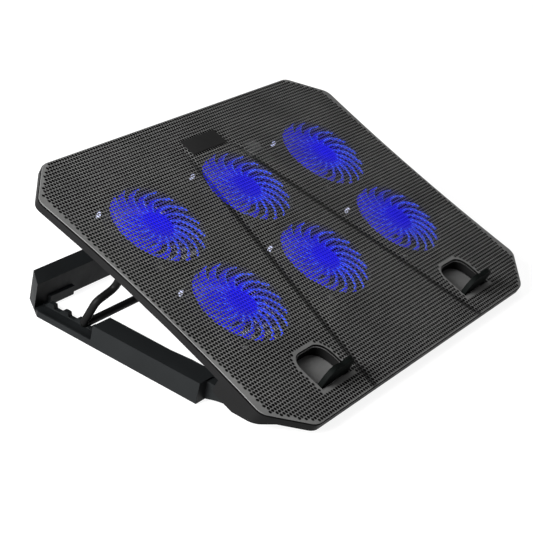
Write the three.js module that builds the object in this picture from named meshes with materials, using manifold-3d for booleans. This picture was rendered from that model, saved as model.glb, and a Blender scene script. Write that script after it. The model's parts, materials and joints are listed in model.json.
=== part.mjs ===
// A laptop cooling pad: an octagonal deck with a perforated steel top and six fans,
// hinged at the front on a U-shaped base frame and held up by a bent wire prop.
// Millimetres, +X right, +Y to the rear, +Z up, resting on z = 0.
import * as THREE from "three";
import { mergeVertices } from "three/addons/utils/BufferGeometryUtils.js";
import Module from "manifold-3d";

const wasm = await Module();
wasm.setup();

// ---- driving dimensions ------------------------------------------------------------------------
const TILT = THREE.MathUtils.degToRad(18.4); // deck angle above the table
const HINGE_Z = 12; // height of the deck's hinge axis above the table
const GAP = 0.3; // gap between neighbouring pieces

// The deck is drawn flat, with y and z measured from its hinge axis.
const DECK = { y: 93.3, halfWidth: 194, halfDepth: 139.3, waist: 4.6, cutX: 33, cutY: 28.3, round: 5 };
const PANEL = { top: 14.3, thick: 1, inset: 0.4, crease: 4.5, creaseDepth: 0.5 };
const TRAY = { under: 7.6, wall: 1.6, top: PANEL.top - PANEL.thick - GAP };
const TUB = { halfWidth: 168, front: 5, rear: 192, under: -0.6, wall: 1.6, corner: 14 };
const BELLY = { inset: 3, rear: 22.5, low: -6, flat: 2, rise: -34, wall: 1.6 };
const LABEL = { y: 200.3, halfWidth: 22.5, halfDepth: 7.8, thick: 0.5 };

const FAN = { x: [-115, 0, 115], y: [149.3, 63.3], ring: 40.5, bore: 39.2, tip: 38, hub: 13.5, seat: 12 };
const FAN_Z = { base: 1.3, spider: 3.1, rotor: 3.8, top: 12.3 };
const FAN_EAR = { reach: 43.6, radius: 3.8, thick: 2.4 };
const BLADES = 17;
const INTAKE = { outer: 36, inner: 15, bar: 5 };
const SCREW = { radius: 1.2, head: 2.3, headHigh: 1.3, depth: 4 };
const LAMP = { reach: 44.2, radius: 1.6, high: 5 };

const STOPPER = { x: 109, y: -22.8, z: 11.4, half: 18.2, side: 4, thick: 4, pin: 1.1 };
const CROWN = { height: 17.6, inner: 6, outer: 9.5, dip: 3.4 };
const WELL = { half: 19.8, rear: 6, side: -8, front: -26.7, low: 3.4, shallow: 7.2, floor: 0.8, wall: 0.9 };

const SOCKET = { x: 57, y: 178, width: 13.2, high: 5.8, depth: 14.2, z: 4.6, skin: 0.6 };
const BOARD = { halfWidth: 15, front: 168, rear: 189.6, under: 1.3, thick: 0.7 };
const CABLE = { radius: 1.1, y: 106.3, z: 2.6 };

// The base frame and the prop are drawn on the table, with y measured from the hinge axis.
const BASE = { outer: 193.5, inner: 174, flare: 172, under: 0.8, arm: 30.5, armTop: 17.5 };
const RAIL = { front: 126, top: 5.5, floor: 2.6, lip: 2, strip: 4.5, step: 6.4, stepEnd: 137.6 };
const TOOTH = { y: [148.8, 162.4, 176], crest: 6.3, root: 3.2, half: 2.3, face: 1, ramp: 3.2 };
const BAR = { front: 184, rear: 197, low: 22, high: 25, cornerX: 178, cornerY: 176 };
const LEDGE = { inner: 146, outer: 173, depth: 2.6, top: 8.5 };
const FOOT = { long: 26, wide: 9, high: 2.4 };
const KNUCKLE = { inner: 176.4, outer: 185, radius: 4.6, pin: 2, neck: 16 };
const PROP = { radius: 3, top: 172.3, low: 188.2, end: 162, bend: 4.7 };
const PROP_PIVOT = { y: 129.5, z: 3.3 };
const PROP_FOOT = { y: 138.5, z: 10.4 };

// ---- materials ---------------------------------------------------------------------------------
function finish(color, roughness, metalness) {
  return new THREE.MeshStandardMaterial({ color, roughness, metalness });
}

const SHELL_PLASTIC = finish(0x3a3a3a, 0.62, 0);
const BASE_PLASTIC = finish(0x333435, 0.6, 0);
const SHEET_STEEL = finish(0x4a4a4a, 0.5, 0.4);
const LABEL_PLASTIC = finish(0x202122, 0.25, 0);
const WIRE_STEEL = finish(0x101010, 0.4, 0.6);
const BRIGHT_STEEL = finish(0xb8b8ba, 0.3, 1);
const STOPPER_PLASTIC = finish(0x1a1c1b, 0.5, 0);
const WELL_PLASTIC = finish(0x55575a, 0.6, 0);
const ROTOR_PLASTIC = finish(0x2030ff, 0.3, 0);
const FRAME_PLASTIC = finish(0x111118, 0.5, 0);
const LAMP_LENS = finish(0x3050ff, 0.2, 0);
const RUBBER = finish(0x0e0e0e, 0.9, 0);
const BOARD_GREEN = finish(0x1d4a2c, 0.6, 0);
const CABLE_SHEATH = finish(0x141414, 0.7, 0);

// ---- solids ------------------------------------------------------------------------------------
// A closed three.js geometry as a solid that can be joined and cut.
function solid(geometry) {
  geometry.deleteAttribute("normal");
  geometry.deleteAttribute("uv");
  const merged = mergeVertices(geometry, 1e-4);
  const mesh = new wasm.Mesh({
    numProp: 3,
    vertProperties: merged.attributes.position.array,
    triVerts: new Uint32Array(merged.index.array),
  });
  return new wasm.Manifold(mesh);
}

// A solid as a named mesh.
function piece(name, body, material) {
  const data = body.getMesh();
  const geometry = new THREE.BufferGeometry();
  geometry.setAttribute("position", new THREE.BufferAttribute(new Float32Array(data.vertProperties), 3));
  geometry.setIndex(new THREE.BufferAttribute(new Uint32Array(data.triVerts), 1));
  geometry.computeVertexNormals();
  const mesh = new THREE.Mesh(geometry, material);
  mesh.name = name;
  return mesh;
}

const join = (bodies) => bodies.reduce((all, body) => all.add(body));
const cut = (body, cutters) => cutters.reduce((rest, cutter) => rest.subtract(cutter), body);
const bothSides = (body) => [body, body.mirror([1, 0, 0])];

function box(x0, x1, y0, y1, z0, z1) {
  const geometry = new THREE.BoxGeometry(x1 - x0, y1 - y0, z1 - z0);
  return solid(geometry.translate((x0 + x1) / 2, (y0 + y1) / 2, (z0 + z1) / 2));
}

const outline = (points) => new THREE.Shape(points.map(([x, y]) => new THREE.Vector2(x, y)));

// A plan outline in X and Y, raised from z0 to z1.
function slab(shape, z0, z1, curveSegments = 5) {
  const settings = { depth: z1 - z0, bevelEnabled: false, curveSegments };
  return solid(new THREE.ExtrudeGeometry(shape, settings).translate(0, 0, z0));
}

// A side outline in Y and Z, carried across from x0 to x1.
function bar(shape, x0, x1) {
  const settings = { depth: x1 - x0, bevelEnabled: false, curveSegments: 6 };
  const geometry = new THREE.ExtrudeGeometry(shape, settings);
  const yToX = new THREE.Matrix4().set(0, 0, 1, x0, 1, 0, 0, 0, 0, 1, 0, 0, 0, 0, 0, 1);
  return solid(geometry.applyMatrix4(yToX));
}

// A cylinder standing on its end.
function post(radius, x, y, z0, z1, sides = 8) {
  const geometry = new THREE.CylinderGeometry(radius, radius, z1 - z0, sides).rotateX(Math.PI / 2);
  return solid(geometry.translate(x, y, (z0 + z1) / 2));
}

// A cylinder lying along X.
function rod(radius, x0, x1, y, z, sides = 20) {
  const geometry = new THREE.CylinderGeometry(radius, radius, x1 - x0, sides).rotateZ(Math.PI / 2);
  return solid(geometry.translate((x0 + x1) / 2, y, z));
}

// ---- deck: perforated panel, shell and label ---------------------------------------------------
// The deck's outline: a rectangle with cut corners, rounded, its two sides drawn in at the waist.
function deckShape(inset) {
  const slant = Math.hypot(DECK.cutX, DECK.cutY);
  const across = DECK.cutY / slant;
  const back = DECK.cutX / slant;
  const reach = across * DECK.halfWidth + back * (DECK.halfDepth - DECK.cutY) - inset;
  const side = DECK.halfWidth - inset;
  const end = DECK.halfDepth - inset;
  const endX = (reach - back * end) / across;
  const sideY = (reach - across * side) / back;
  const corners = [
    [side, -sideY],
    [side, sideY],
    [endX, end],
    [-endX, end],
    [-side, sideY],
    [-side, -sideY],
    [-endX, -end],
    [endX, -end],
  ].map(([x, y]) => new THREE.Vector2(x, y + DECK.y));
  const towards = (corner, other) => corner.clone().add(other.clone().sub(corner).setLength(DECK.round));
  const shape = new THREE.Shape();
  corners.forEach((corner, i) => {
    const before = towards(corner, corners[(i + 7) % 8]);
    const after = towards(corner, corners[(i + 1) % 8]);
    const waistX = corner.x - Math.sign(corner.x) * 2 * DECK.waist;
    if (i === 0) shape.moveTo(before.x, before.y);
    else if (i % 4 === 1) shape.quadraticCurveTo(waistX, DECK.y, before.x, before.y);
    else shape.lineTo(before.x, before.y);
    shape.quadraticCurveTo(corner.x, corner.y, after.x, after.y);
  });
  return shape;
}

// The D-shaped opening over a stopper: straight at the front, rounded at the rear.
function wellShape(inset) {
  const half = WELL.half - inset;
  const rear = WELL.rear - inset;
  const front = WELL.front + inset;
  const shape = new THREE.Shape();
  shape.moveTo(-half, front);
  shape.lineTo(half, front);
  shape.lineTo(half, WELL.side);
  shape.bezierCurveTo(half, rear - 5, half * 0.75, rear, half * 0.35, rear);
  shape.lineTo(-half * 0.35, rear);
  shape.bezierCurveTo(-half * 0.75, rear, -half, rear - 5, -half, WELL.side);
  return shape;
}

const well = (inset, z0, z1) => slab(wellShape(inset), z0, z1).translate([STOPPER.x, 0, 0]);

// A shallow pressed crease; the two of them splay from the label to the front corners.
function crease() {
  const rear = new THREE.Vector2(27, DECK.y + 104);
  const run = new THREE.Vector2(82, DECK.y - 131).sub(rear);
  const half = PANEL.crease / 2;
  const section = outline([[-half, 0.2], [0, -PANEL.creaseDepth], [half, 0.2]]);
  const groove = slab(section, 0, run.length()).rotate([90, 0, 0]);
  const turn = THREE.MathUtils.radToDeg(Math.atan2(run.y, run.x)) + 90;
  return groove.rotate([0, 0, turn]).translate([rear.x, rear.y, PANEL.top]);
}

function meshPanel() {
  const sheet = slab(deckShape(PANEL.inset), PANEL.top - PANEL.thick, PANEL.top);
  return cut(sheet, [...bothSides(well(0, PANEL.top - 2, PANEL.top + 1)), ...bothSides(crease())]);
}

function labelPlate() {
  const low = PANEL.top + GAP / 3;
  const { halfWidth, halfDepth, thick, y } = LABEL;
  return box(-halfWidth, halfWidth, y - halfDepth, y + halfDepth, low, low + thick);
}

// The deep front of the shell: flat under the hinge, rising to the front edge.
function bellyProfile(inset) {
  const rear = BELLY.rear - inset;
  const low = BELLY.low + inset;
  const rise = BELLY.rise + inset * 2.4;
  const top = TRAY.under + 1;
  return outline([
    [rear, top],
    [rear, low + 1.5],
    [rear - 2, low],
    [BELLY.flat, low],
    [rise, TRAY.under],
    [rise, top],
  ]);
}

function tubShape(inset) {
  const half = TUB.halfWidth - inset;
  const rear = TUB.rear - inset;
  const corner = TUB.corner - inset * 0.6;
  const front = TUB.front + inset;
  return outline([
    [-half, front],
    [half, front],
    [half, rear - corner],
    [half - corner, rear],
    [-half + corner, rear],
    [-half, rear - corner],
  ]);
}

// A fan's intake in the tub floor: a ring crossed by two bars.
function intake(x, y) {
  const low = TUB.under - 1;
  const high = TUB.under + TUB.wall + 0.2;
  const middle = post(INTAKE.inner, x, y, low - 1, high + 1, 16);
  const ring = post(INTAKE.outer, x, y, low, high, 24).subtract(middle);
  const half = INTAKE.bar / 2;
  const reach = INTAKE.outer + 2;
  const bars = [
    box(x - half, x + half, y - reach, y + reach, low - 1, high + 1),
    box(x - reach, x + reach, y - half, y + half, low - 1, high + 1),
  ];
  return cut(ring, bars);
}

function bottomShell() {
  const deep = BELLY.low - 2;
  const tubFloor = TUB.under + TUB.wall;
  const trayFloor = TRAY.under + TRAY.wall;
  const footprint = slab(deckShape(BELLY.inset), deep, TRAY.under + 1);
  const belly = bar(bellyProfile(0), -200, 200).intersect(footprint);
  const tray = slab(deckShape(0), TRAY.under, TRAY.top);
  const outside = join([tray, slab(tubShape(0), TUB.under, TRAY.under + 1), belly]);
  const bellyRear = BELLY.rear - BELLY.wall;
  const bellyOpening = box(-200, 200, BELLY.rise + 6, bellyRear, TRAY.under - 0.5, trayFloor + 1);
  const hollow = join([
    slab(deckShape(TRAY.wall), trayFloor, TRAY.top + 1),
    slab(tubShape(TUB.wall), tubFloor, trayFloor + 1),
    bar(bellyProfile(BELLY.wall), -200, 200)
      .add(bellyOpening)
      .intersect(slab(deckShape(BELLY.inset + BELLY.wall), deep, trayFloor + 2)),
  ]);
  const hingeBlock = box(KNUCKLE.inner - 4, 189, -9, BELLY.rear, BELLY.low, TRAY.under + 1).intersect(belly);
  const propBoss = rod(5.4, TUB.halfWidth - 4.5, TUB.halfWidth, PROP_PIVOT.y, PROP_PIVOT.z + 0.4);
  const bosses = fanPlaces().flatMap(([x, y]) => earPlaces(x, y).map(([ex, ey]) => screwBoss(ex, ey)));
  const body = join([outside.subtract(hollow), ...bothSides(hingeBlock), ...bothSides(propBoss), ...bosses]);
  const slot = box(KNUCKLE.inner - 0.5, KNUCKLE.outer + 0.5, -5.4, BELLY.rear + 1, deep, 5.4);
  const pinHole = rod(KNUCKLE.pin + 0.15, KNUCKLE.inner - 2.8, KNUCKLE.outer + 1.9, 0, 0);
  const propHole = rod(PROP.radius + 0.25, TUB.halfWidth - 6, TUB.halfWidth + 1, PROP_PIVOT.y, PROP_PIVOT.z);
  return cut(body, [
    ...[slot, pinHole, propHole].flatMap(bothSides),
    ...fanPlaces().map(([x, y]) => intake(x, y)),
    ...fanPlaces().flatMap(([x, y]) => earPlaces(x, y).map(([ex, ey]) => screwHole(ex, ey))),
    socketBox(GAP, TUB.rear + 1),
  ]);
}

// ---- stoppers ----------------------------------------------------------------------------------
// The space over a floor that falls from the well's front to its rear.
function overWellFloor(lift) {
  const side = outline([
    [WELL.front - 1, WELL.shallow + lift],
    [WELL.rear + 1, WELL.low + lift],
    [WELL.rear + 1, PANEL.top + 2],
    [WELL.front - 1, PANEL.top + 2],
  ]);
  return bar(side, STOPPER.x - WELL.half, STOPPER.x + WELL.half);
}

function stopperCup() {
  const outside = well(GAP, WELL.low - 1, PANEL.top - PANEL.thick - GAP).intersect(overWellFloor(0));
  const inside = well(GAP + WELL.wall, WELL.low - 1, PANEL.top).intersect(overWellFloor(WELL.floor));
  const reach = STOPPER.half + 1;
  const pinHole = rod(STOPPER.pin + 0.15, STOPPER.x - reach, STOPPER.x + reach, STOPPER.y, STOPPER.z, 12);
  return cut(outside, [inside, pinHole]);
}

const stopperPin = () => {
  const reach = STOPPER.half + 0.8;
  return rod(STOPPER.pin, STOPPER.x - reach, STOPPER.x + reach, STOPPER.y, STOPPER.z, 12);
};

// The flip-up tab: an arch with two crowns, whose round foot turns on its pin.
function stopperTab() {
  const { half, side, thick } = STOPPER;
  const { height, inner, outer, dip } = CROWN;
  const arch = new THREE.Shape();
  arch.moveTo(-half, 0);
  arch.lineTo(half, 0);
  arch.lineTo(half, side);
  arch.quadraticCurveTo(half - 1, height, outer, height);
  arch.lineTo(inner, height);
  arch.quadraticCurveTo(0, height - dip, -inner, height);
  arch.lineTo(-outer, height);
  arch.quadraticCurveTo(1 - half, height, -half, side);
  const upright = slab(arch, -thick / 2, thick / 2).rotate([90, 0, 0]);
  const plate = upright.translate([STOPPER.x, STOPPER.y, STOPPER.z]);
  const foot = rod(thick / 2, STOPPER.x - half, STOPPER.x + half, STOPPER.y, STOPPER.z, 16);
  const bore = rod(STOPPER.pin + 0.15, STOPPER.x - half - 1, STOPPER.x + half + 1, STOPPER.y, STOPPER.z, 12);
  return plate.add(foot).subtract(bore);
}

// ---- fans --------------------------------------------------------------------------------------
const fanPlaces = () => FAN.y.flatMap((y) => FAN.x.map((x) => [x, y]));

// Places on a fan's diagonals, at a distance from its middle.
function diagonal(x, y, reach, sides) {
  const along = reach * Math.SQRT1_2;
  return sides.map(([sx, sy]) => [x + sx * along, y + sy * along]);
}

const earPlaces = (x, y) => diagonal(x, y, FAN_EAR.reach, [[1, 1], [-1, -1]]);

function fanFrame(x, y) {
  const hoop = post(FAN.ring, x, y, FAN_Z.base, FAN_Z.top, 32);
  const earTop = earUnder() + FAN_EAR.thick;
  const ears = earPlaces(x, y).map((place) => post(FAN_EAR.radius, ...place, earUnder(), earTop));
  const bore = post(FAN.bore, x, y, FAN_Z.base - 1, FAN_Z.top + 1, 32);
  const holes = earPlaces(x, y).map(([ex, ey]) => post(SCREW.radius + 0.2, ex, ey, FAN_Z.base, FAN_Z.top));
  const seat = post(FAN.seat, x, y, FAN_Z.base, FAN_Z.spider, 16);
  const spindle = post(1.4, x, y, FAN_Z.base, FAN_Z.top - 3);
  const arms = [45, 135].map((turn) => {
    const arm = box(-FAN.ring + 0.8, FAN.ring - 0.8, -2, 2, FAN_Z.base, FAN_Z.spider);
    return arm.rotate([0, 0, turn]).translate([x, y, 0]);
  });
  return join([cut(join([hoop, ...ears]), [bore, ...holes]), seat, spindle, ...arms]);
}

// The ears stand on bosses in the tub, and each screw runs down through both.
const earUnder = () => TUB.under + TUB.wall + SCREW.depth;
const screwBoss = (x, y) => post(2.6, x, y, TUB.under + TUB.wall - 0.5, earUnder() - GAP);
const screwHole = (x, y) => post(SCREW.radius + 0.2, x, y, earUnder() - SCREW.depth, earUnder());

function fanScrew(x, y) {
  const seat = earUnder() + FAN_EAR.thick + GAP / 2;
  const shank = post(SCREW.radius, x, y, earUnder() - SCREW.depth + GAP, seat + 0.2);
  return shank.add(post(SCREW.head, x, y, seat, seat + SCREW.headHigh));
}

// One swept blade at the origin, drawn between its two curved edges.
function bladeShape() {
  const root = FAN.hub - 1.5;
  const shape = new THREE.Shape();
  shape.moveTo(root, -1.3);
  shape.quadraticCurveTo(root + 13, -1.5, FAN.tip - 4, -16);
  shape.lineTo(FAN.tip - 2, -12.4);
  shape.quadraticCurveTo(root + 14, 2.6, root, 2);
  return shape;
}

function fanRotor(x, y) {
  const hub = post(FAN.hub, 0, 0, FAN_Z.rotor, FAN_Z.top - 0.6, 17);
  const bore = post(1.9, 0, 0, FAN_Z.rotor - 1, FAN_Z.top - 2.4);
  const blade = slab(bladeShape(), FAN_Z.rotor + 1, FAN_Z.top - 1, 2);
  const blades = Array.from({ length: BLADES }, (_, i) => blade.rotate([0, 0, (360 * i) / BLADES]));
  return join([hub, ...blades]).subtract(bore).translate([x, y, 0]);
}

// A lamp standing beside each fan's hoop.
function fanLamp(x, y) {
  const [[lx, ly]] = diagonal(x, y, LAMP.reach, [[-1, 1]]);
  return post(LAMP.radius, lx, ly, FAN_Z.base, FAN_Z.base + LAMP.high);
}

// ---- power inlet -------------------------------------------------------------------------------
// The inlet's outside, grown by a margin and running back to the given y.
function socketBox(margin, rear) {
  const half = SOCKET.width / 2 + margin;
  const tall = SOCKET.high / 2 + margin;
  const { x, y, z } = SOCKET;
  return box(x - half, x + half, y - margin, rear, z - tall, z + tall);
}

function powerSocket() {
  const rear = SOCKET.y + SOCKET.depth;
  const half = SOCKET.width / 2 - 1.2;
  const mouth = socketBox(-SOCKET.skin, rear + 1).subtract(box(0, 100, 0, SOCKET.y + 3, -10, 20));
  const { x, y, z } = SOCKET;
  const tongue = box(x - half, x + half, y + 2, rear - 1.5, z + 0.3, z + 1.7);
  return socketBox(0, rear).subtract(mouth).add(tongue);
}

function powerBoard() {
  const { halfWidth, front, under, thick } = BOARD;
  const { x } = SOCKET;
  const body = box(x - halfWidth, x + halfWidth, front, BOARD.rear, under, under + thick);
  return body.subtract(socketBox(GAP, BOARD.rear + 1));
}

// The fans' leads, bundled: one run between the two rows and one back to the board.
function wiringHarness() {
  const { radius, y, z } = CABLE;
  const trunk = rod(radius, FAN.x[0] - 3, FAN.x[2] + 3, y, z, 10);
  const branch = post(radius, SOCKET.x, 0, 0, BOARD.front - GAP - y, 10).rotate([-90, 0, 0]);
  return trunk.add(branch.translate([0, y, z]));
}

// ---- base frame --------------------------------------------------------------------------------
// The toothed strip on the inner side of a rail: each tooth is steep in front and sloped behind.
function toothedStrip() {
  const points = [[RAIL.front - 1, BASE.under], [BAR.front + 1, BASE.under], [BAR.front + 1, TOOTH.root]];
  [...TOOTH.y].reverse().forEach((y) => {
    points.push([y + TOOTH.half + TOOTH.ramp, TOOTH.root], [y + TOOTH.half, TOOTH.crest]);
    points.push([y - TOOTH.half, TOOTH.crest], [y - TOOTH.half - TOOTH.face, TOOTH.root]);
  });
  points.push([RAIL.stepEnd + TOOTH.face, TOOTH.root], [RAIL.stepEnd, RAIL.step]);
  points.push([RAIL.front - 1, RAIL.step]);
  return bar(outline(points), BASE.inner, BASE.inner + RAIL.strip);
}

// The arm's front neck and the knuckle around the hinge pin.
function knuckle() {
  const { inner, outer, radius, neck, pin } = KNUCKLE;
  const shape = new THREE.Shape();
  shape.moveTo(BASE.arm + 1, 1.8);
  shape.lineTo(BASE.arm + 1, neck + 0.3);
  shape.quadraticCurveTo(14, neck, 3.5, neck);
  shape.absarc(0, HINGE_Z, radius, Math.PI * 0.27, Math.PI * 1.45, false);
  shape.quadraticCurveTo(14, HINGE_Z - radius - 0.6, BASE.arm - 8, 4.6);
  return bar(shape, inner, outer).subtract(rod(pin + 0.15, inner - 1, outer + 1, 0, HINGE_Z));
}

function sideRail() {
  const { outer, inner, under } = BASE;
  const plan = outline([
    [BASE.flare, BASE.arm],
    [outer, BASE.arm],
    [outer, RAIL.front],
    [inner, RAIL.front],
    [inner, BASE.arm + 40],
    [BASE.flare, BASE.arm + 22],
  ]);
  return join([
    slab(plan, under, BASE.armTop),
    box(inner, outer, RAIL.front - 1, BAR.front + 1, under, RAIL.floor),
    box(outer - RAIL.lip, outer, RAIL.front - 1, BAR.front + 1, under, RAIL.top),
    toothedStrip(),
    knuckle(),
  ]);
}

function baseFrame() {
  const { front, rear, low, high, cornerX, cornerY } = BAR;
  const section = outline([[front, BASE.under], [rear, BASE.under], [rear, high], [front, low]]);
  const plan = outline([
    [-BASE.outer, -20],
    [BASE.outer, -20],
    [BASE.outer, cornerY],
    [cornerX, rear],
    [-cornerX, rear],
    [-BASE.outer, cornerY],
  ]);
  const ledge = box(LEDGE.inner, LEDGE.outer, front - LEDGE.depth, front + 1, BASE.under, LEDGE.top);
  const whole = join([...bothSides(sideRail().add(ledge)), bar(section, -BASE.outer, BASE.outer)]);
  return cut(whole.intersect(slab(plan, 0, 40)), footPlaces().map((place) => footPad(place, GAP)));
}

// Rubber feet: one under the front of each arm, one under each end of the rear bar.
function footPlaces() {
  const armX = (BASE.inner + BASE.outer) / 2;
  const barY = (BAR.front + BAR.rear) / 2;
  return [
    { name: "foot_front_left", x: -armX, y: BASE.arm + 20, wide: FOOT.wide, long: FOOT.long },
    { name: "foot_front_right", x: armX, y: BASE.arm + 20, wide: FOOT.wide, long: FOOT.long },
    { name: "foot_rear_left", x: -154, y: barY, wide: FOOT.long, long: FOOT.wide },
    { name: "foot_rear_right", x: 154, y: barY, wide: FOOT.long, long: FOOT.wide },
  ];
}

function footPad({ x, y, wide, long }, grow) {
  const half = wide / 2 + grow;
  const reach = long / 2 + grow;
  return box(x - half, x + half, y - reach, y + reach, grow ? -1 : 0, FOOT.high + grow);
}

// ---- prop: one rod, its crossbar over a notch, its ends turned into the tub -------------------
// A point in the deck's flat drawing, as (y, z) above the table.
function raised(y, z) {
  return [y * Math.cos(TILT) - z * Math.sin(TILT), HINGE_Z + y * Math.sin(TILT) + z * Math.cos(TILT)];
}

function propWire() {
  const pivot = new THREE.Vector3(0, ...raised(PROP_PIVOT.y, PROP_PIVOT.z));
  const foot = new THREE.Vector3(0, PROP_FOOT.y, PROP_FOOT.z);
  const at = (share, x) => pivot.clone().lerp(foot, share).setX(x);
  const right = [
    at(1, PROP.low),
    at(0.5, PROP.low),
    at(0.34, PROP.top),
    at(0, PROP.top),
    at(0, PROP.end),
  ];
  const left = right.map((point) => point.clone().setX(-point.x)).reverse();
  const points = [...left, ...right];
  const path = new THREE.CurvePath();
  let from = points[0];
  points.slice(1, -1).forEach((corner, i) => {
    const bend = (end) => corner.clone().lerp(end, PROP.bend / corner.distanceTo(end));
    const start = bend(points[i]);
    const end = bend(points[i + 2]);
    path.add(new THREE.LineCurve3(from, start));
    path.add(new THREE.QuadraticBezierCurve3(start, corner, end));
    from = end;
  });
  path.add(new THREE.LineCurve3(from, points[points.length - 1]));
  const section = new THREE.Shape().absarc(0, 0, PROP.radius, 0, 2 * Math.PI, false);
  return solid(new THREE.ExtrudeGeometry(section, { steps: 96, curveSegments: 4, extrudePath: path }));
}

// ---- assembly ----------------------------------------------------------------------------------
const SIDE_NAMES = ["right", "left"];

function pairOf(name, body, material) {
  return bothSides(body).map((half, i) => piece(`${name}_${SIDE_NAMES[i]}`, half, material));
}

function deckPieces() {
  const hingePin = rod(KNUCKLE.pin, KNUCKLE.inner - 2.6, KNUCKLE.outer + 1.7, 0, 0);
  const fans = fanPlaces().flatMap(([x, y], i) => [
    piece(`fan_frame_${i + 1}`, fanFrame(x, y), FRAME_PLASTIC),
    piece(`fan_rotor_${i + 1}`, fanRotor(x, y), ROTOR_PLASTIC),
    piece(`fan_lamp_${i + 1}`, fanLamp(x, y), LAMP_LENS),
    ...earPlaces(x, y).map(([ex, ey], k) => {
      return piece(`fan_screw_${i + 1}${"ab"[k]}`, fanScrew(ex, ey), BRIGHT_STEEL);
    }),
  ]);
  return [
    piece("bottom_shell", bottomShell(), SHELL_PLASTIC),
    piece("mesh_panel", meshPanel(), SHEET_STEEL),
    piece("label_plate", labelPlate(), LABEL_PLASTIC),
    ...pairOf("hinge_pin", hingePin, BRIGHT_STEEL),
    ...pairOf("stopper_cup", stopperCup(), WELL_PLASTIC),
    ...pairOf("stopper_pin", stopperPin(), BRIGHT_STEEL),
    ...pairOf("stopper_tab", stopperTab(), STOPPER_PLASTIC),
    ...fans,
    piece("power_board", powerBoard(), BOARD_GREEN),
    piece("power_socket", powerSocket(), BRIGHT_STEEL),
    piece("wiring_harness", wiringHarness(), CABLE_SHEATH),
  ];
}

const deck = new THREE.Group();
deck.add(...deckPieces());
deck.rotation.x = TILT;
deck.position.z = HINGE_Z;

const group = new THREE.Group();
group.add(deck, piece("base_frame", baseFrame(), BASE_PLASTIC), piece("prop_wire", propWire(), WIRE_STEEL));
footPlaces().forEach((place) => group.add(piece(place.name, footPad(place, 0), RUBBER)));

// The origin lies under the middle of the whole object.
const foremost = raised(DECK.y - DECK.halfDepth + PANEL.inset, PANEL.top)[0];
const rearmost = raised(DECK.y + DECK.halfDepth, TRAY.under)[0];
group.position.y = -(foremost + rearmost) / 2;

export default group;
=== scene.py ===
"""A laptop cooling pad: perforated steel deck over six lit fans, raised on a wire prop.

Lengths are in millimetres until a mesh is made. Deck pieces are drawn flat, with y and z
measured from the hinge axis, and DECK_TO_ROW tilts them into place.
"""

import json
from collections import Counter
from math import cos, hypot, pi, radians, sin

import bmesh
import bpy
from mathutils import Matrix, Vector
from mathutils.geometry import delaunay_2d_cdt


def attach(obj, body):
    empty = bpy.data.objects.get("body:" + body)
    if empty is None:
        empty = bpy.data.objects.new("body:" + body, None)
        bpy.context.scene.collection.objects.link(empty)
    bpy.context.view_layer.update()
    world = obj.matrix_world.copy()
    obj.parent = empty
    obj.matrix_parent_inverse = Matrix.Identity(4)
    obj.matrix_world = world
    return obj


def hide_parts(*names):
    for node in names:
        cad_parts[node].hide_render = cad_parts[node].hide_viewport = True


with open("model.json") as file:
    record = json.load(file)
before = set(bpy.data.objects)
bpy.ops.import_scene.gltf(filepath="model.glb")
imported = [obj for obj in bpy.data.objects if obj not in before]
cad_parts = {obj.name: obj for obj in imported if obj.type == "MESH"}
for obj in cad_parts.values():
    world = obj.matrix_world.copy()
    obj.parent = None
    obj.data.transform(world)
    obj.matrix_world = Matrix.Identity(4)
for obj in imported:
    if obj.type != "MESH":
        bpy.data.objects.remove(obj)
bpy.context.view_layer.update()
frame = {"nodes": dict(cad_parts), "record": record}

MM = 0.001
TILT = radians(18.4)
HINGE_Y = -85.264
HINGE_Z = 12
SCALE = Matrix.Scale(MM, 4)
DECK_TO_ROW = SCALE @ Matrix.Translation((0, HINGE_Y, HINGE_Z)) @ Matrix.Rotation(TILT, 4, "X")
TABLE_TO_ROW = SCALE @ Matrix.Translation((0, HINGE_Y, 0))
DECK_UP = Vector((0, -sin(TILT), cos(TILT)))

DECK_Y = 93.3
DECK_HALF_WIDTH = 194
DECK_HALF_DEPTH = 139.3
WAIST = 4.6
CUT_X = 33
CUT_Y = 28.3
CORNER_ROUND = 5
CORNER_STEPS = 8
WAIST_STEPS = 28
PANEL_TOP = 14.3
PANEL_THICK = 0.45
PANEL_INSET = 0.4
PANEL_EDGE = 0.3

HOLE_PITCH = 3.0
ROW_PITCH = 2.97
HOLE_RADIUS = 1.38
HOLE_BORDER = 1.0
HOLE_SIDES = 8
FIELD_HALF_WIDTH = 187.5
FIELD_ROWS = 47
FIELD_COLUMNS = 66
CREASE_HALF = 3.8
CREASE_DEPTH = 0.5
CREASE_FADE = 30
CREASE_REAR = (27, 104)
CREASE_FRONT = (82, -133)

WELL_X = 109
WELL_HALF = 19.8
WELL_REAR = 6
WELL_SIDE = -8
WELL_FRONT = -26.7
WELL_BORDER = 0.4
WELL_STEPS = 10

LABEL_Y = 107
LABEL_CLEAR_X = 21.5
LABEL_CLEAR_Y = 6.6

HUB_RADIUS = 13.5
GLOW_REACH = 37
FANS = [(x, y) for y in (149.3, 63.3) for x in (-115, 0, 115)]
BODIES = frame["record"]["behaviour"]["bodies"]
BODY_OF = {node: body for body, nodes in BODIES.items() for node in nodes}
SLOT_OF = {part["node"]: part["material_slot"] for part in frame["record"]["subparts"]}


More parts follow.
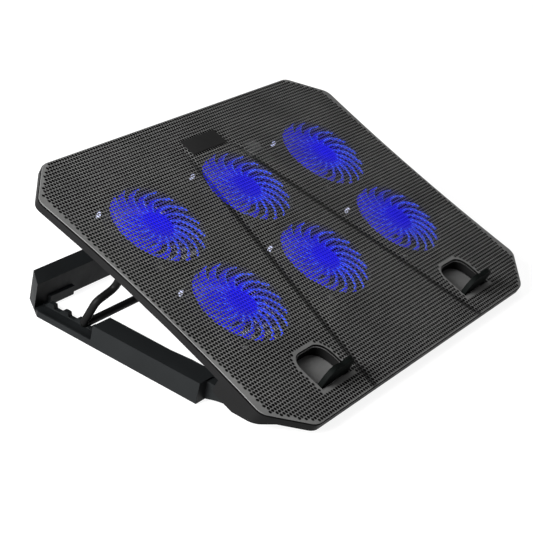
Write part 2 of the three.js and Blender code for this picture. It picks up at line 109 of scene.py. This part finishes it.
# ---- materials -----------------------------------------------------------------------------------
class Nodes:
    """A material's node tree, with short calls for its nodes and links."""

    def __init__(self, name, roughness, metallic=0.0):
        self.material = bpy.data.materials.new(name)
        self.material.use_nodes = True
        self.tree = self.material.node_tree
        self.shader = self.tree.nodes["Principled BSDF"]
        self.shader.inputs["Roughness"].default_value = roughness
        self.shader.inputs["Metallic"].default_value = metallic
        self.coord = self.add("ShaderNodeTexCoord").outputs["Object"]

    def add(self, kind, **settings):
        node = self.tree.nodes.new(kind)
        for key, value in settings.items():
            setattr(node, key, value)
        return node

    def link(self, out, into):
        self.tree.links.new(out, into)

    def noise(self, scale, detail=3.0):
        node = self.add("ShaderNodeTexNoise")
        node.inputs["Scale"].default_value = scale
        node.inputs["Detail"].default_value = detail
        self.link(self.coord, node.inputs["Vector"])
        return node.outputs["Fac"]

    def ramp(self, fac, low, high, from_=(0.3, 0.7)):
        node = self.add("ShaderNodeMapRange")
        node.inputs["From Min"].default_value = from_[0]
        node.inputs["From Max"].default_value = from_[1]
        node.inputs["To Min"].default_value = low
        node.inputs["To Max"].default_value = high
        self.link(fac, node.inputs["Value"])
        return node.outputs["Result"]

    def math(self, operation, *values):
        node = self.add("ShaderNodeMath", operation=operation)
        for socket, value in zip(node.inputs, values):
            if isinstance(value, (int, float)):
                socket.default_value = value
            else:
                self.link(value, socket)
        return node.outputs[0]

    def mix(self, fac, a, b, into=None):
        node = self.add("ShaderNodeMix", data_type="RGBA")
        self.link(fac, node.inputs["Factor"])
        for socket, value in ((node.inputs[6], a), (node.inputs[7], b)):
            if isinstance(value, tuple):
                socket.default_value = (*value, 1)
            else:
                self.link(value, socket)
        if into is not None:
            self.link(node.outputs[2], into)
        return node.outputs[2]

    def bump(self, height, strength, distance):
        node = self.add("ShaderNodeBump")
        node.inputs["Strength"].default_value = strength
        node.inputs["Distance"].default_value = distance
        self.link(height, node.inputs["Height"])
        self.link(node.outputs["Normal"], self.shader.inputs["Normal"])


def grained(name, dark, light, roughness, grain=1800, strength=0.25, specular=0.12):
    """Moulded plastic or paint: slow cloudy tone, uneven sheen and a fine surface grain."""
    m = Nodes(name, roughness)
    m.shader.inputs["Specular IOR Level"].default_value = specular
    m.mix(m.ramp(m.noise(28, 5), 0, 1), dark, light, m.shader.inputs["Base Color"])
    m.link(m.ramp(m.noise(90, 4), roughness - 0.06, roughness + 0.08), m.shader.inputs["Roughness"])
    m.bump(m.noise(grain, 2), strength, 0.0002)
    return m.material


def glowing(name, deep, bright, low, high):
    """Plastic that shines by itself, its colour and strength uneven."""
    m = Nodes(name, 0.4)
    m.shader.inputs["Specular IOR Level"].default_value = 0.2
    m.mix(m.ramp(m.noise(60, 3), 0, 1), deep, bright, m.shader.inputs["Emission Color"])
    m.shader.inputs["Base Color"].default_value = (0.004, 0.004, 0.12, 1)
    m.link(m.ramp(m.noise(45, 2), low, high), m.shader.inputs["Emission Strength"])
    return m.material


def brushed(name, color, roughness):
    """Bare metal with a fine uneven polish."""
    m = Nodes(name, roughness, 1.0)
    dull = tuple(c * 0.8 for c in color)
    m.mix(m.ramp(m.noise(400, 4), 0, 1), dull, color, m.shader.inputs["Base Color"])
    m.link(m.ramp(m.noise(700, 2), roughness - 0.08, roughness + 0.1), m.shader.inputs["Roughness"])
    return m.material


def deck_point(x, y, z):
    """A point of the flat deck drawing, around the deck's centre, in the object's frame."""
    return DECK_TO_ROW @ Vector((x, y + DECK_Y, z))


def fan_nearness(m, reach):
    """One over a fan's middle, falling to nought at the reach: where the painted fan light goes on the
    sheet.
    """
    nearest = None
    for x, y in FANS:
        away = m.add("ShaderNodeVectorMath", operation="DISTANCE")
        m.link(m.coord, away.inputs[0])
        away.inputs[1].default_value = deck_point(x, y - DECK_Y, PANEL_TOP)
        if nearest is None:
            nearest = away.outputs["Value"]
        else:
            nearest = m.math("MINIMUM", nearest, away.outputs["Value"])
    return m.ramp(nearest, 1, 0, (HUB_RADIUS * 0.6 * MM, reach * MM))


def crease_nearness(m):
    """One along the two creases, nought beside them and behind their rear ends: where the painted crease
    shade goes.
    """
    rear = deck_point(*CREASE_REAR, PANEL_TOP)
    front = deck_point(*CREASE_FRONT, PANEL_TOP)
    split = m.add("ShaderNodeSeparateXYZ")
    m.link(m.coord, split.inputs[0])
    folded = m.add("ShaderNodeCombineXYZ")
    m.link(m.math("ABSOLUTE", split.outputs["X"]), folded.inputs["X"])
    m.link(split.outputs["Y"], folded.inputs["Y"])
    m.link(split.outputs["Z"], folded.inputs["Z"])
    offset = m.add("ShaderNodeVectorMath", operation="SUBTRACT")
    m.link(folded.outputs[0], offset.inputs[0])
    offset.inputs[1].default_value = rear
    across = m.add("ShaderNodeVectorMath", operation="CROSS_PRODUCT")
    m.link(offset.outputs["Vector"], across.inputs[0])
    across.inputs[1].default_value = (front - rear).normalized()
    length = m.add("ShaderNodeVectorMath", operation="LENGTH")
    m.link(across.outputs["Vector"], length.inputs[0])
    near = m.ramp(length.outputs["Value"], 1, 0, (CREASE_HALF * 0.4 * MM, CREASE_HALF * 1.1 * MM))
    ahead = m.ramp(split.outputs["Y"], 1, 0, (rear.y - CREASE_FADE * MM, rear.y))
    return m.math("MULTIPLY", near, ahead)


def sheet_paint_with_painted_light(name, dark, light):
    """Dark paint, with painted shade darkening the creases nearly black and a painted blue glow of the fan
    light over the lit fans.
    """
    m = Nodes(name, 0.5)
    m.shader.inputs["Specular IOR Level"].default_value = 0.4
    paint = m.mix(m.ramp(m.noise(24, 5), 0, 1), dark, light)
    # Painted shade: the creases are darkened nearly black.
    crease_shaded = m.mix(m.ramp(crease_nearness(m), 0, 0.85, (0, 1)), paint, (0.008, 0.008, 0.008))
    # Painted fan light: over each fan the sheet's colour turns deep blue.
    near = fan_nearness(m, GLOW_REACH)
    m.mix(m.math("POWER", near, 0.8), crease_shaded, (0.008, 0.006, 0.05), m.shader.inputs["Base Color"])
    m.link(m.ramp(m.noise(160, 3), 0.42, 0.58), m.shader.inputs["Roughness"])
    m.bump(m.noise(2500, 2), 0.2, 0.0001)
    # Painted fan light: the sheet glows blue over each fan, strongest at its middle.
    m.shader.inputs["Emission Color"].default_value = (0.015, 0.009, 1, 1)
    m.link(m.math("MULTIPLY", m.math("POWER", near, 1.6), 0.75), m.shader.inputs["Emission Strength"])
    return m.material


LOOKS = {
    "shell": grained("shell_plastic", (0.004, 0.004, 0.0041), (0.006, 0.006, 0.0062), 0.55, specular=0.07),
    "base": grained(
        "base_plastic", (0.0042, 0.0048, 0.0051), (0.0062, 0.007, 0.0075), 0.52, specular=0.09
    ),
    "mesh_steel": sheet_paint_with_painted_light("sheet_paint_with_painted_light", (0.078, 0.078, 0.077), (0.114, 0.114, 0.112)),
    "label": grained("label_plate", (0.009, 0.009, 0.009), (0.013, 0.013, 0.013), 0.36, 900, 0.08),
    "wire": grained("wire_paint", (0.002,) * 3, (0.004,) * 3, 0.5, 1500, 0.1, specular=0.06),
    "pin_steel": brushed("pin_steel", (0.62, 0.62, 0.64), 0.3),
    "screw_steel": brushed("screw_steel", (0.92, 0.92, 0.94), 0.22),
    "stopper": grained(
        "stopper_plastic", (0.0014, 0.002, 0.0018), (0.0024, 0.0033, 0.003), 0.6, specular=0.04
    ),
    "well": grained("well_plastic", (0.085, 0.085, 0.085), (0.11, 0.11, 0.109), 0.6),
    "fan_frame": grained("fan_frame_plastic", (0.003, 0.003, 0.006), (0.006, 0.006, 0.012), 0.45),
    "rotor": glowing("rotor_glow", (0.0, 0.0, 1.0), (0.003, 0.003, 1.0), 0.5, 0.85),
    "lamp": glowing("lamp_glow", (0.6, 0.65, 1.0), (0.85, 0.88, 1.0), 0.7, 1.2),
    "foot_rubber": grained("foot_rubber", (0.006, 0.006, 0.006), (0.011, 0.011, 0.011), 0.85, 1200, 0.5),
    "circuit_board": grained("board_laminate", (0.002, 0.008, 0.004), (0.004, 0.013, 0.007), 0.4, 700, 0.2),
    "socket_steel": brushed("socket_steel", (0.6, 0.6, 0.62), 0.3),
    "cable_sheath": grained("cable_sheath", (0.008, 0.008, 0.008), (0.013, 0.013, 0.013), 0.6),
}
# Painted highlight: a brighter glow along each blade's raised edge.
BLADE_EDGE_HIGHLIGHT = glowing("blade_edge_painted_highlight", (0.02, 0.07, 1.0), (0.06, 0.14, 1.0), 0.9, 1.3)
# Near-black plastic that stands as painted shade on faces deep in shadow.
PAINTED_SHADE_PLASTIC = grained("painted_shade_plastic", (0.002,) * 3, (0.004,) * 3, 0.75, specular=0.1)
for node, obj in frame["nodes"].items():
    obj.data.materials.clear()
    obj.data.materials.append(LOOKS[SLOT_OF[node]])


# ---- making pieces -------------------------------------------------------------------------------
SHARP_EDGE = radians(28)
FLAT_EDGE = radians(1.5)
SAME_POINT = 0.002 * MM


def add_piece(name, mesh, body, slot, *replaced):
    obj = bpy.data.objects.new(name, mesh)
    bpy.context.scene.collection.objects.link(obj)
    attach(obj, body)
    if replaced:
        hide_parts(*replaced)
    return obj


def new_mesh(name, points, faces, to_row, *materials):
    mesh = bpy.data.meshes.new(name)
    mesh.from_pydata([to_row @ Vector(p) for p in points], [], faces)
    mesh.validate()
    for material in materials:
        mesh.materials.append(material)
    return mesh


def face_outward(mesh):
    work = bmesh.new()
    work.from_mesh(mesh)
    bmesh.ops.recalc_face_normals(work, faces=work.faces)
    work.to_mesh(mesh)
    work.free()


def smooth_by_angle(mesh, degrees=32):
    """Smooth shading, with the edges sharper than the angle kept crisp."""
    mesh.shade_smooth()
    work = bmesh.new()
    work.from_mesh(mesh)
    for edge in work.edges:
        edge.smooth = len(edge.link_faces) == 2 and edge.calc_face_angle(0) < radians(degrees)
    work.to_mesh(mesh)
    work.free()


def round_edges(mesh, width, segments=2):
    """Rounds a mesh's sharp edges, in place."""
    work = bmesh.new()
    work.from_mesh(mesh)
    bmesh.ops.remove_doubles(work, verts=work.verts, dist=SAME_POINT)
    bmesh.ops.dissolve_limit(work, angle_limit=FLAT_EDGE, verts=work.verts, edges=work.edges)
    bmesh.ops.bevel(
        work,
        geom=[e for e in work.edges if len(e.link_faces) == 2 and e.calc_face_angle(0) > SHARP_EDGE],
        offset=width * MM,
        segments=segments,
        affect="EDGES",
        clamp_overlap=True,
    )
    bmesh.ops.triangulate(work, faces=[f for f in work.faces if len(f.verts) > 4])
    work.to_mesh(mesh)
    work.free()
    smooth_by_angle(mesh)


def refine(node, width, segments=2):
    """A copy of a CAD node with its edges rounded, in the node's place."""
    mesh = frame["nodes"][node].data.copy()
    mesh.name = node + "_fine"
    round_edges(mesh, width, segments)
    return add_piece(node + "_fine", mesh, BODY_OF[node], SLOT_OF[node], node)


def shade(piece, chosen):
    """Paints shade: gives the near-black painted-shade plastic to the faces whose upward part, against the
    deck, passes a test.
    """
    piece.data.materials.append(PAINTED_SHADE_PLASTIC)
    for face in piece.data.polygons:
        if chosen(face.normal.dot(DECK_UP)):
            face.material_index = 1


# ---- outlines ------------------------------------------------------------------------------------
def arc_points(a, control, b, count):
    """Points of a quadratic curve from a to b, without its last."""
    steps = [i / count for i in range(count)]
    return [
        tuple((1 - t) ** 2 * a[k] + 2 * t * (1 - t) * control[k] + t * t * b[k] for k in (0, 1))
        for t in steps
    ]


def cubic_points(a, c1, c2, b, count):
    """Points of a cubic curve from a to b, without its last."""
    steps = [i / count for i in range(count)]
    return [
        tuple(
            (1 - t) ** 3 * a[k] + 3 * t * (1 - t) ** 2 * c1[k] + 3 * t * t * (1 - t) * c2[k] + t**3 * b[k]
            for k in (0, 1)
        )
        for t in steps
    ]


def deck_outline(inset):
    """The deck's outline around its own centre: cut corners, rounded, the sides drawn in."""
    slant = hypot(CUT_X, CUT_Y)
    across, back = CUT_Y / slant, CUT_X / slant
    reach = across * DECK_HALF_WIDTH + back * (DECK_HALF_DEPTH - CUT_Y) - inset
    side, end = DECK_HALF_WIDTH - inset, DECK_HALF_DEPTH - inset
    end_x, side_y = (reach - back * end) / across, (reach - across * side) / back
    corners = [(side, -side_y), (side, side_y), (end_x, end), (-end_x, end)]
    corners += [(-x, -y) for x, y in corners]
    points = []
    for i, corner in enumerate(corners):
        nearby = []
        for other in (corners[i - 1], corners[(i + 1) % 8]):
            share = CORNER_ROUND / hypot(other[0] - corner[0], other[1] - corner[1])
            nearby.append(tuple(corner[k] + (other[k] - corner[k]) * share for k in (0, 1)))
        if i % 4 == 1:
            waist = (corner[0] - (2 * WAIST if corner[0] > 0 else -2 * WAIST), 0)
            points += arc_points(points.pop(), waist, nearby[0], WAIST_STEPS)
        points += arc_points(nearby[0], corner, nearby[1], CORNER_STEPS) + [nearby[1]]
    return points


def well_outline(side, inset):
    """The D-shaped opening over a stopper, around the deck's centre."""
    half, rear, front = WELL_HALF - inset, WELL_REAR - inset, WELL_FRONT + inset
    curve = ((half, WELL_SIDE), (half, rear - 5), (half * 0.75, rear), (half * 0.35, rear))
    right = cubic_points(*curve, WELL_STEPS)
    left = cubic_points(*[(-x, y) for x, y in reversed(curve)], WELL_STEPS)
    points = [(-half, front), (half, front)] + right + left + [(-half, WELL_SIDE)]
    return [(x + side * WELL_X, y - DECK_Y) for x, y in points]


def inside(point, polygon):
    """Whether a line from the point crosses the polygon an odd number of times."""
    x, y = point
    found = False
    for (x0, y0), (x1, y1) in zip(polygon, polygon[1:] + polygon[:1]):
        if (y0 > y) != (y1 > y) and x < (x1 - x0) * (y - y0) / (y1 - y0) + x0:
            found = not found
    return found


# ---- perforated sheet ----------------------------------------------------------------------------
def crease_distance(x, y):
    """How far a point is from the nearer crease line, around the deck's centre."""
    run = (CREASE_FRONT[0] - CREASE_REAR[0], CREASE_FRONT[1] - CREASE_REAR[1])
    length = hypot(*run)
    ax, ay = abs(x) - CREASE_REAR[0], y - CREASE_REAR[1]
    along = max(0, min(length, (ax * run[0] + ay * run[1]) / length))
    return hypot(ax - run[0] * along / length, ay - run[1] * along / length)


def sheet_height(x, y):
    """The top of the sheet, lower in the creases."""
    near = max(0.0, 1 - crease_distance(x, y) / CREASE_HALF)
    return PANEL_TOP - CREASE_DEPTH * min(1, near * 1.8)


def make_sheet():
    """Each hole has a six-sided cell; what the cells leave of the sheet is filled with triangles."""
    rim = deck_outline(PANEL_INSET + PANEL_EDGE)
    border = deck_outline(HOLE_BORDER)
    wells = [well_outline(side, 0) for side in (-1, 1)]
    around = [well_outline(side, -WELL_BORDER) for side in (-1, 1)]
    half_x, half_y = HOLE_PITCH / 2, ROW_PITCH / 2

    def allowed(x, y):
        """Whether a hole's whole cell lies on the sheet, clear of the label and the wells."""
        if abs(x) > FIELD_HALF_WIDTH - half_x:
            return False
        if abs(x) < LABEL_CLEAR_X and abs(y - LABEL_Y) < LABEL_CLEAR_Y:
            return False
        corners = [(x + sx * half_x, y + sy * half_y) for sx in (-1, 0, 1) for sy in (-1, 0, 1)]
        return all(inside(c, border) and not any(inside(c, w) for w in around) for c in corners)

    cells = {}
    for row in range(-FIELD_ROWS, FIELD_ROWS + 1):
        for col in range(-FIELD_COLUMNS, FIELD_COLUMNS + 1):
            x, y = (col + 0.5 * (row % 2)) * HOLE_PITCH, row * ROW_PITCH
            if allowed(x, y):
                cells[row, 2 * col + row % 2] = (x, y)

    keys, flat = {}, []

    def index(x, y):
        key = (round(x * 1e3), round(y * 1e3))
        if key not in keys:
            keys[key] = len(flat)
            flat.append((x, y))
        return keys[key]

    frame_at = [(half_x, -half_y), (half_x, half_y), (0, half_y)]
    frame_at += [(-x, -y) for x, y in frame_at]
    turns = [2 * pi * k / HOLE_SIDES for k in range(HOLE_SIDES)]
    hole_at = [(HOLE_RADIUS * cos(turn), HOLE_RADIUS * sin(turn)) for turn in turns]
    faces, walls, edge_uses = [], [], Counter()
    for x, y in cells.values():
        b = [index(x + dx, y + dy) for dx, dy in frame_at]
        h = [index(x + dx, y + dy) for dx, dy in hole_at]
        faces += [(b[1], b[2], h[2], h[1]), (b[2], b[3], h[3], h[2]), (b[3], h[4], h[3])]
        faces += [(b[3], b[4], h[4]), (b[4], h[5], h[4]), (b[4], b[5], h[6], h[5])]
        faces += [(b[5], b[0], h[7], h[6]), (b[0], h[0], h[7]), (b[0], b[1], h[0])]
        faces.append((b[1], h[1], h[0]))
        walls += [(h[(k + 1) % HOLE_SIDES], h[k]) for k in range(HOLE_SIDES)]
        for k in range(6):
            edge_uses[frozenset((b[k], b[(k + 1) % 6]))] += 1

    loops = [[index(*p) for p in loop] for loop in (rim, *wells)]
    edges = [tuple(edge) for edge, uses in edge_uses.items() if uses == 1]
    for loop in loops:
        edges += list(zip(loop, loop[1:] + loop[:1]))
    used = sorted({i for edge in edges for i in edge})
    place = {i: n for n, i in enumerate(used)}
    lines = [(place[a], place[b]) for a, b in edges]
    filled_points, _, filled_faces, *_ = delaunay_2d_cdt([flat[i] for i in used], lines, [], 0, 1e-5)
    back = [index(*p) for p in filled_points]
    for face in filled_faces:
        corner = [back[i] for i in face]
        cx, cy = (sum(flat[i][k] for i in corner) / 3 for k in (0, 1))
        row = round(cy / ROW_PITCH)
        col = 2 * round(cx / HOLE_PITCH - 0.5 * (row % 2)) + row % 2
        in_well = any(inside((cx, cy), well) for well in wells)
        if (row, col) not in cells and inside((cx, cy), rim) and not in_well:
            faces.append(tuple(corner))

    count = len(flat)
    points = [(x, y + DECK_Y, sheet_height(x, y)) for x, y in flat]
    points += [(x, y + DECK_Y, sheet_height(x, y) - PANEL_THICK) for x, y in flat]
    solid = list(faces) + [tuple(i + count for i in reversed(face)) for face in faces]
    for loop in loops[1:]:
        walls += list(zip(loop[1:] + loop[:1], loop))
    solid += [(a, b, b + count, a + count) for a, b in walls]
    outer = deck_outline(PANEL_INSET)
    start = len(points)
    points += [(x, y + DECK_Y, PANEL_TOP - PANEL_EDGE) for x, y in outer]
    points += [(x, y + DECK_Y, PANEL_TOP - PANEL_THICK) for x, y in outer]
    n = len(outer)
    for i in range(n):
        j = (i + 1) % n
        a, b = loops[0][i], loops[0][j]
        solid += [(a, start + i, start + j, b), (start + i, start + n + i, start + n + j, start + j)]
        solid.append((start + n + i, a + count, b + count, start + n + j))
    mesh = new_mesh("perforated_sheet", points, solid, DECK_TO_ROW, LOOKS["mesh_steel"])
    sheet = add_piece("perforated_sheet", mesh, "deck", "mesh_steel", "mesh_panel")
    # Painted shade: the hole walls and the sheet's underside get the near-black plastic.
    shade(sheet, lambda upward: upward < 0.5)


# ---- fans ----------------------------------------------------------------------------------------
BLADE_COUNT = 17
BLADE_STEPS = 12
BLADE_ROOT = 12.4
BLADE_TIP = 38.0
BLADE_SWEEP = 0.62
ROOT_HALF_WIDTH = 1.4
TIP_HALF_WIDTH = 2.9
BLADE_TOP = 11.4
HUB_SIDES = 48
HUB_TOP = 11.7
GRILLE_BARS = 11
GRILLE_PITCH = 3.2
GRILLE_HALF = 0.6
GRILLE_RADIUS = 36.5
GRILLE_LOW = -0.5
GRILLE_HIGH = 1.15


def ring_faces(a, b, count):
    """Faces between two rings of points that start at a and at b."""
    return [(a + i, a + (i + 1) % count, b + (i + 1) % count, b + i) for i in range(count)]


def rotor_mesh(name, cx, cy):
    """A domed hub with swept, pitched blades; each blade's raised edge is a lighter strip, a painted
    highlight.
    """
    points, faces = [], []
    profile = [(1.9, 9.9), (1.9, 3.8), (HUB_RADIUS - 0.5, 3.8), (HUB_RADIUS, 4.3), (HUB_RADIUS, 10.4)]
    profile += [(12.6, 11.3), (10.5, HUB_TOP), (5.4, HUB_TOP), (5.0, 11.45), (0.6, 11.4)]
    turns = [2 * pi * i / HUB_SIDES for i in range(HUB_SIDES)]
    for radius, z in profile:
        points += [(cx + radius * cos(turn), cy + radius * sin(turn), z) for turn in turns]
    last = (len(profile) - 1) * HUB_SIDES
    for start in range(0, last, HUB_SIDES):
        faces += ring_faces(start, start + HUB_SIDES, HUB_SIDES)
    faces.append(tuple(range(last, last + HUB_SIDES)))
    faces.append(tuple(reversed(range(HUB_SIDES))))
    marks = [0] * len(faces)
    for blade in range(BLADE_COUNT):
        turn = 2 * pi * blade / BLADE_COUNT
        start = len(points)
        for s in range(BLADE_STEPS + 1):
            t = s / BLADE_STEPS
            radius = BLADE_ROOT + (BLADE_TIP - BLADE_ROOT) * t
            sweep = -0.02 - BLADE_SWEEP * t**1.8
            lead = ROOT_HALF_WIDTH + (TIP_HALF_WIDTH - ROOT_HALF_WIDTH) * t
            section = [(lead, 8.0), (lead, 6.8), (-lead, 9.8), (-lead, BLADE_TOP)]
            section += [(1 - lead, BLADE_TOP), (lead * 0.3, 9.6)]
            for offset, z in section:
                angle = turn + sweep + offset / radius
                points.append((cx + radius * cos(angle), cy + radius * sin(angle), z))
        for s in range(BLADE_STEPS):
            for k in range(6):
                a, b = start + s * 6 + k, start + s * 6 + (k + 1) % 6
                faces.append((a, a + 6, b + 6, b))
                # The faces of the raised edge take the painted highlight.
                marks.append(1 if k in (2, 3) else 0)
        faces.append(tuple(start + k for k in range(6)))
        faces.append(tuple(start + BLADE_STEPS * 6 + k for k in reversed(range(6))))
        marks += [0, 0]
    mesh = new_mesh(name, points, faces, DECK_TO_ROW, LOOKS["rotor"], BLADE_EDGE_HIGHLIGHT)
    mesh.polygons.foreach_set("material_index", marks)
    face_outward(mesh)
    smooth_by_angle(mesh, 40)
    return mesh


def grille_mesh(name, cx, cy):
    """The moulded bars across a fan's intake in the shell's floor."""
    points, faces = [], []
    for bar in range(-GRILLE_BARS, GRILLE_BARS + 1):
        x = bar * GRILLE_PITCH
        reach = (GRILLE_RADIUS**2 - x * x) ** 0.5
        start = len(points)
        for z in (GRILLE_LOW, GRILLE_HIGH):
            for sx, sy in ((-1, -1), (1, -1), (1, 1), (-1, 1)):
                points.append((cx + x + sx * GRILLE_HALF, cy + sy * reach, z))
        faces.append(tuple(start + k for k in (3, 2, 1, 0)))
        faces.append(tuple(start + k for k in (4, 5, 6, 7)))
        faces += ring_faces(start, start + 4, 4)
    # Painted shade: the bars take the near-black plastic.
    mesh = new_mesh(name, points, faces, DECK_TO_ROW, PAINTED_SHADE_PLASTIC)
    round_edges(mesh, 0.2, 1)
    return mesh


def make_fans():
    for i, (x, y) in enumerate(FANS, 1):
        node = f"fan_rotor_{i}"
        add_piece(f"fan_blades_{i}", rotor_mesh(f"fan_blades_{i}", x, y), BODY_OF[node], "rotor", node)
        refine(f"fan_frame_{i}", 0.25)
        add_piece(f"intake_bars_{i}", grille_mesh(f"intake_bars_{i}", x, y), "deck", "shell")
        for k in "ab":
            refine(f"fan_screw_{i}{k}", 0.35, 3)
        refine(f"fan_lamp_{i}", 0.5, 3)


# ---- prop wire -----------------------------------------------------------------------------------
WIRE_RADIUS = 3
WIRE_BEND = 4.7
WIRE_LOW = 188.2
WIRE_TOP = 172.3
WIRE_END = 162
WIRE_SIDES = 20
PROP_PIVOT_Y = 129.5
PROP_PIVOT_Z = 3.3
PROP_FOOT_Y = 138.5
PROP_FOOT_Z = 10.4
BEND_STEPS = 8


def tube_mesh(name, path, radius, sides, to_row, material):
    """A closed round rod along a path that lies in one plane."""
    points, faces = [], []
    flat_normal = (path[1] - path[0]).cross(path[len(path) // 2] - path[0]).normalized()
    for i, p in enumerate(path):
        along = (path[min(i + 1, len(path) - 1)] - path[max(i - 1, 0)]).normalized()
        across = along.cross(flat_normal)
        for k in range(sides):
            angle = 2 * pi * k / sides
            points.append(p + radius * (cos(angle) * flat_normal + sin(angle) * across))
    for i in range(len(path) - 1):
        faces += ring_faces(i * sides, (i + 1) * sides, sides)
    faces.append(tuple(reversed(range(sides))))
    faces.append(tuple(range((len(path) - 1) * sides, len(path) * sides)))
    mesh = new_mesh(name, points, faces, to_row, material)
    face_outward(mesh)
    smooth_by_angle(mesh, 50)
    return mesh


def make_prop():
    """A bent rod that turns in the shell at both ends, with its crossbar just over the rails."""
    pivot_y = PROP_PIVOT_Y * cos(TILT) - PROP_PIVOT_Z * sin(TILT)
    pivot_z = HINGE_Z + PROP_PIVOT_Y * sin(TILT) + PROP_PIVOT_Z * cos(TILT)
    pivot, foot = Vector((pivot_y, pivot_z)), Vector((PROP_FOOT_Y, PROP_FOOT_Z))

    def at(share, x):
        """A point on the line from the pivot to the foot, seen from the side, at a place x."""
        y, z = pivot.lerp(foot, share)
        return Vector((x, y, z))

    right = [at(1, WIRE_LOW), at(0.5, WIRE_LOW), at(0.34, WIRE_TOP), at(0, WIRE_TOP), at(0, WIRE_END)]
    corners = [Vector((-p.x, p.y, p.z)) for p in reversed(right)] + right
    path = [corners[0]]
    for before, corner, after in zip(corners, corners[1:], corners[2:]):
        start = corner.lerp(before, WIRE_BEND / (before - corner).length)
        end = corner.lerp(after, WIRE_BEND / (after - corner).length)
        for i in range(BEND_STEPS + 1):
            t = i / BEND_STEPS
            path.append((1 - t) ** 2 * start + 2 * t * (1 - t) * corner + t * t * end)
    path.append(corners[-1])
    mesh = tube_mesh("prop_rod", path, WIRE_RADIUS, WIRE_SIDES, TABLE_TO_ROW, LOOKS["wire"])
    add_piece("prop_rod", mesh, "prop", "wire", "prop_wire")


# ---- the object ----------------------------------------------------------------------------------
make_sheet()
make_fans()
make_prop()
refine("base_frame", 0.7, 3)
# Painted shade: the shell's upward faces, its inside seen through the holes, get the near-black plastic.
shade(refine("bottom_shell", 0.5), lambda upward: upward > 0.3)
refine("label_plate", 0.2)
for side in ("left", "right"):
    refine(f"stopper_tab_{side}", 0.9, 3)
    # Painted shade: the cup's walls get the near-black plastic, its floor keeps its grey.
    shade(refine(f"stopper_cup_{side}", 0.25), lambda upward: upward < 0.7)
    refine(f"stopper_pin_{side}", 0.2)
    refine(f"hinge_pin_{side}", 0.3)
    refine(f"foot_front_{side}", 0.4)
    refine(f"foot_rear_{side}", 0.4)


# ---- stage, light and camera ---------------------------------------------------------------------
FLOOR_REACH = 9
CAMERA_PLACE = (-0.98700, -0.52256, 0.58140)
CAMERA_AZIMUTH = -61.19
CAMERA_ELEVATION = 26.83
CAMERA_ROLL = 12.21
CAMERA_LENS = 106.85
SENSOR_WIDTH = 36


def make_stage():
    mesh = bpy.data.meshes.new("floor")
    corners = [(sx * FLOOR_REACH, sy * FLOOR_REACH, 0) for sx, sy in ((-1, -1), (1, -1), (1, 1), (-1, 1))]
    mesh.from_pydata(corners, [], [(0, 1, 2, 3)])
    floor = bpy.data.objects.new("floor", mesh)
    bpy.context.scene.collection.objects.link(floor)
    m = Nodes("floor_paper", 0.9)
    m.mix(m.ramp(m.noise(2, 2), 0, 1), (0.2,) * 3, (0.22,) * 3, m.shader.inputs["Base Color"])
    m.shader.inputs["Emission Color"].default_value = (1, 1, 1, 1)
    m.shader.inputs["Emission Strength"].default_value = 0.88
    mesh.materials.append(m.material)


def area_light(name, place, target, size, watts):
    data = bpy.data.lights.new(name, "AREA")
    data.shape = "DISK"
    data.size = size
    data.energy = watts
    light = bpy.data.objects.new(name, data)
    bpy.context.scene.collection.objects.link(light)
    light.location = place
    light.rotation_euler = (Vector(target) - Vector(place)).to_track_quat("-Z", "Y").to_euler()


def make_lights():
    world = bpy.data.worlds.new("studio")
    world.use_nodes = True
    background = world.node_tree.nodes["Background"]
    background.inputs["Color"].default_value = (1, 1, 1, 1)
    background.inputs["Strength"].default_value = 0.2
    bpy.context.scene.world = world
    area_light("left_key", (-1.25, 0.35, 0.62), (0, 0, 0.04), 0.8, 62)
    area_light("overhead", (-0.2, 0.3, 2.2), (0, 0, 0.05), 1.4, 12)


def make_camera():
    data = bpy.data.cameras.new("camera")
    data.sensor_width = SENSOR_WIDTH
    data.lens = CAMERA_LENS
    data.clip_end = 50
    camera = bpy.data.objects.new("camera", data)
    bpy.context.scene.collection.objects.link(camera)
    azimuth = Matrix.Rotation(radians(CAMERA_AZIMUTH), 4, "Z")
    elevation = Matrix.Rotation(radians(90 - CAMERA_ELEVATION), 4, "X")
    roll = Matrix.Rotation(radians(CAMERA_ROLL), 4, "Z")
    camera.matrix_world = Matrix.Translation(CAMERA_PLACE) @ azimuth @ elevation @ roll
    bpy.context.scene.camera = camera


make_stage()
make_lights()
make_camera()
bpy.context.scene.view_settings.view_transform = "Standard"
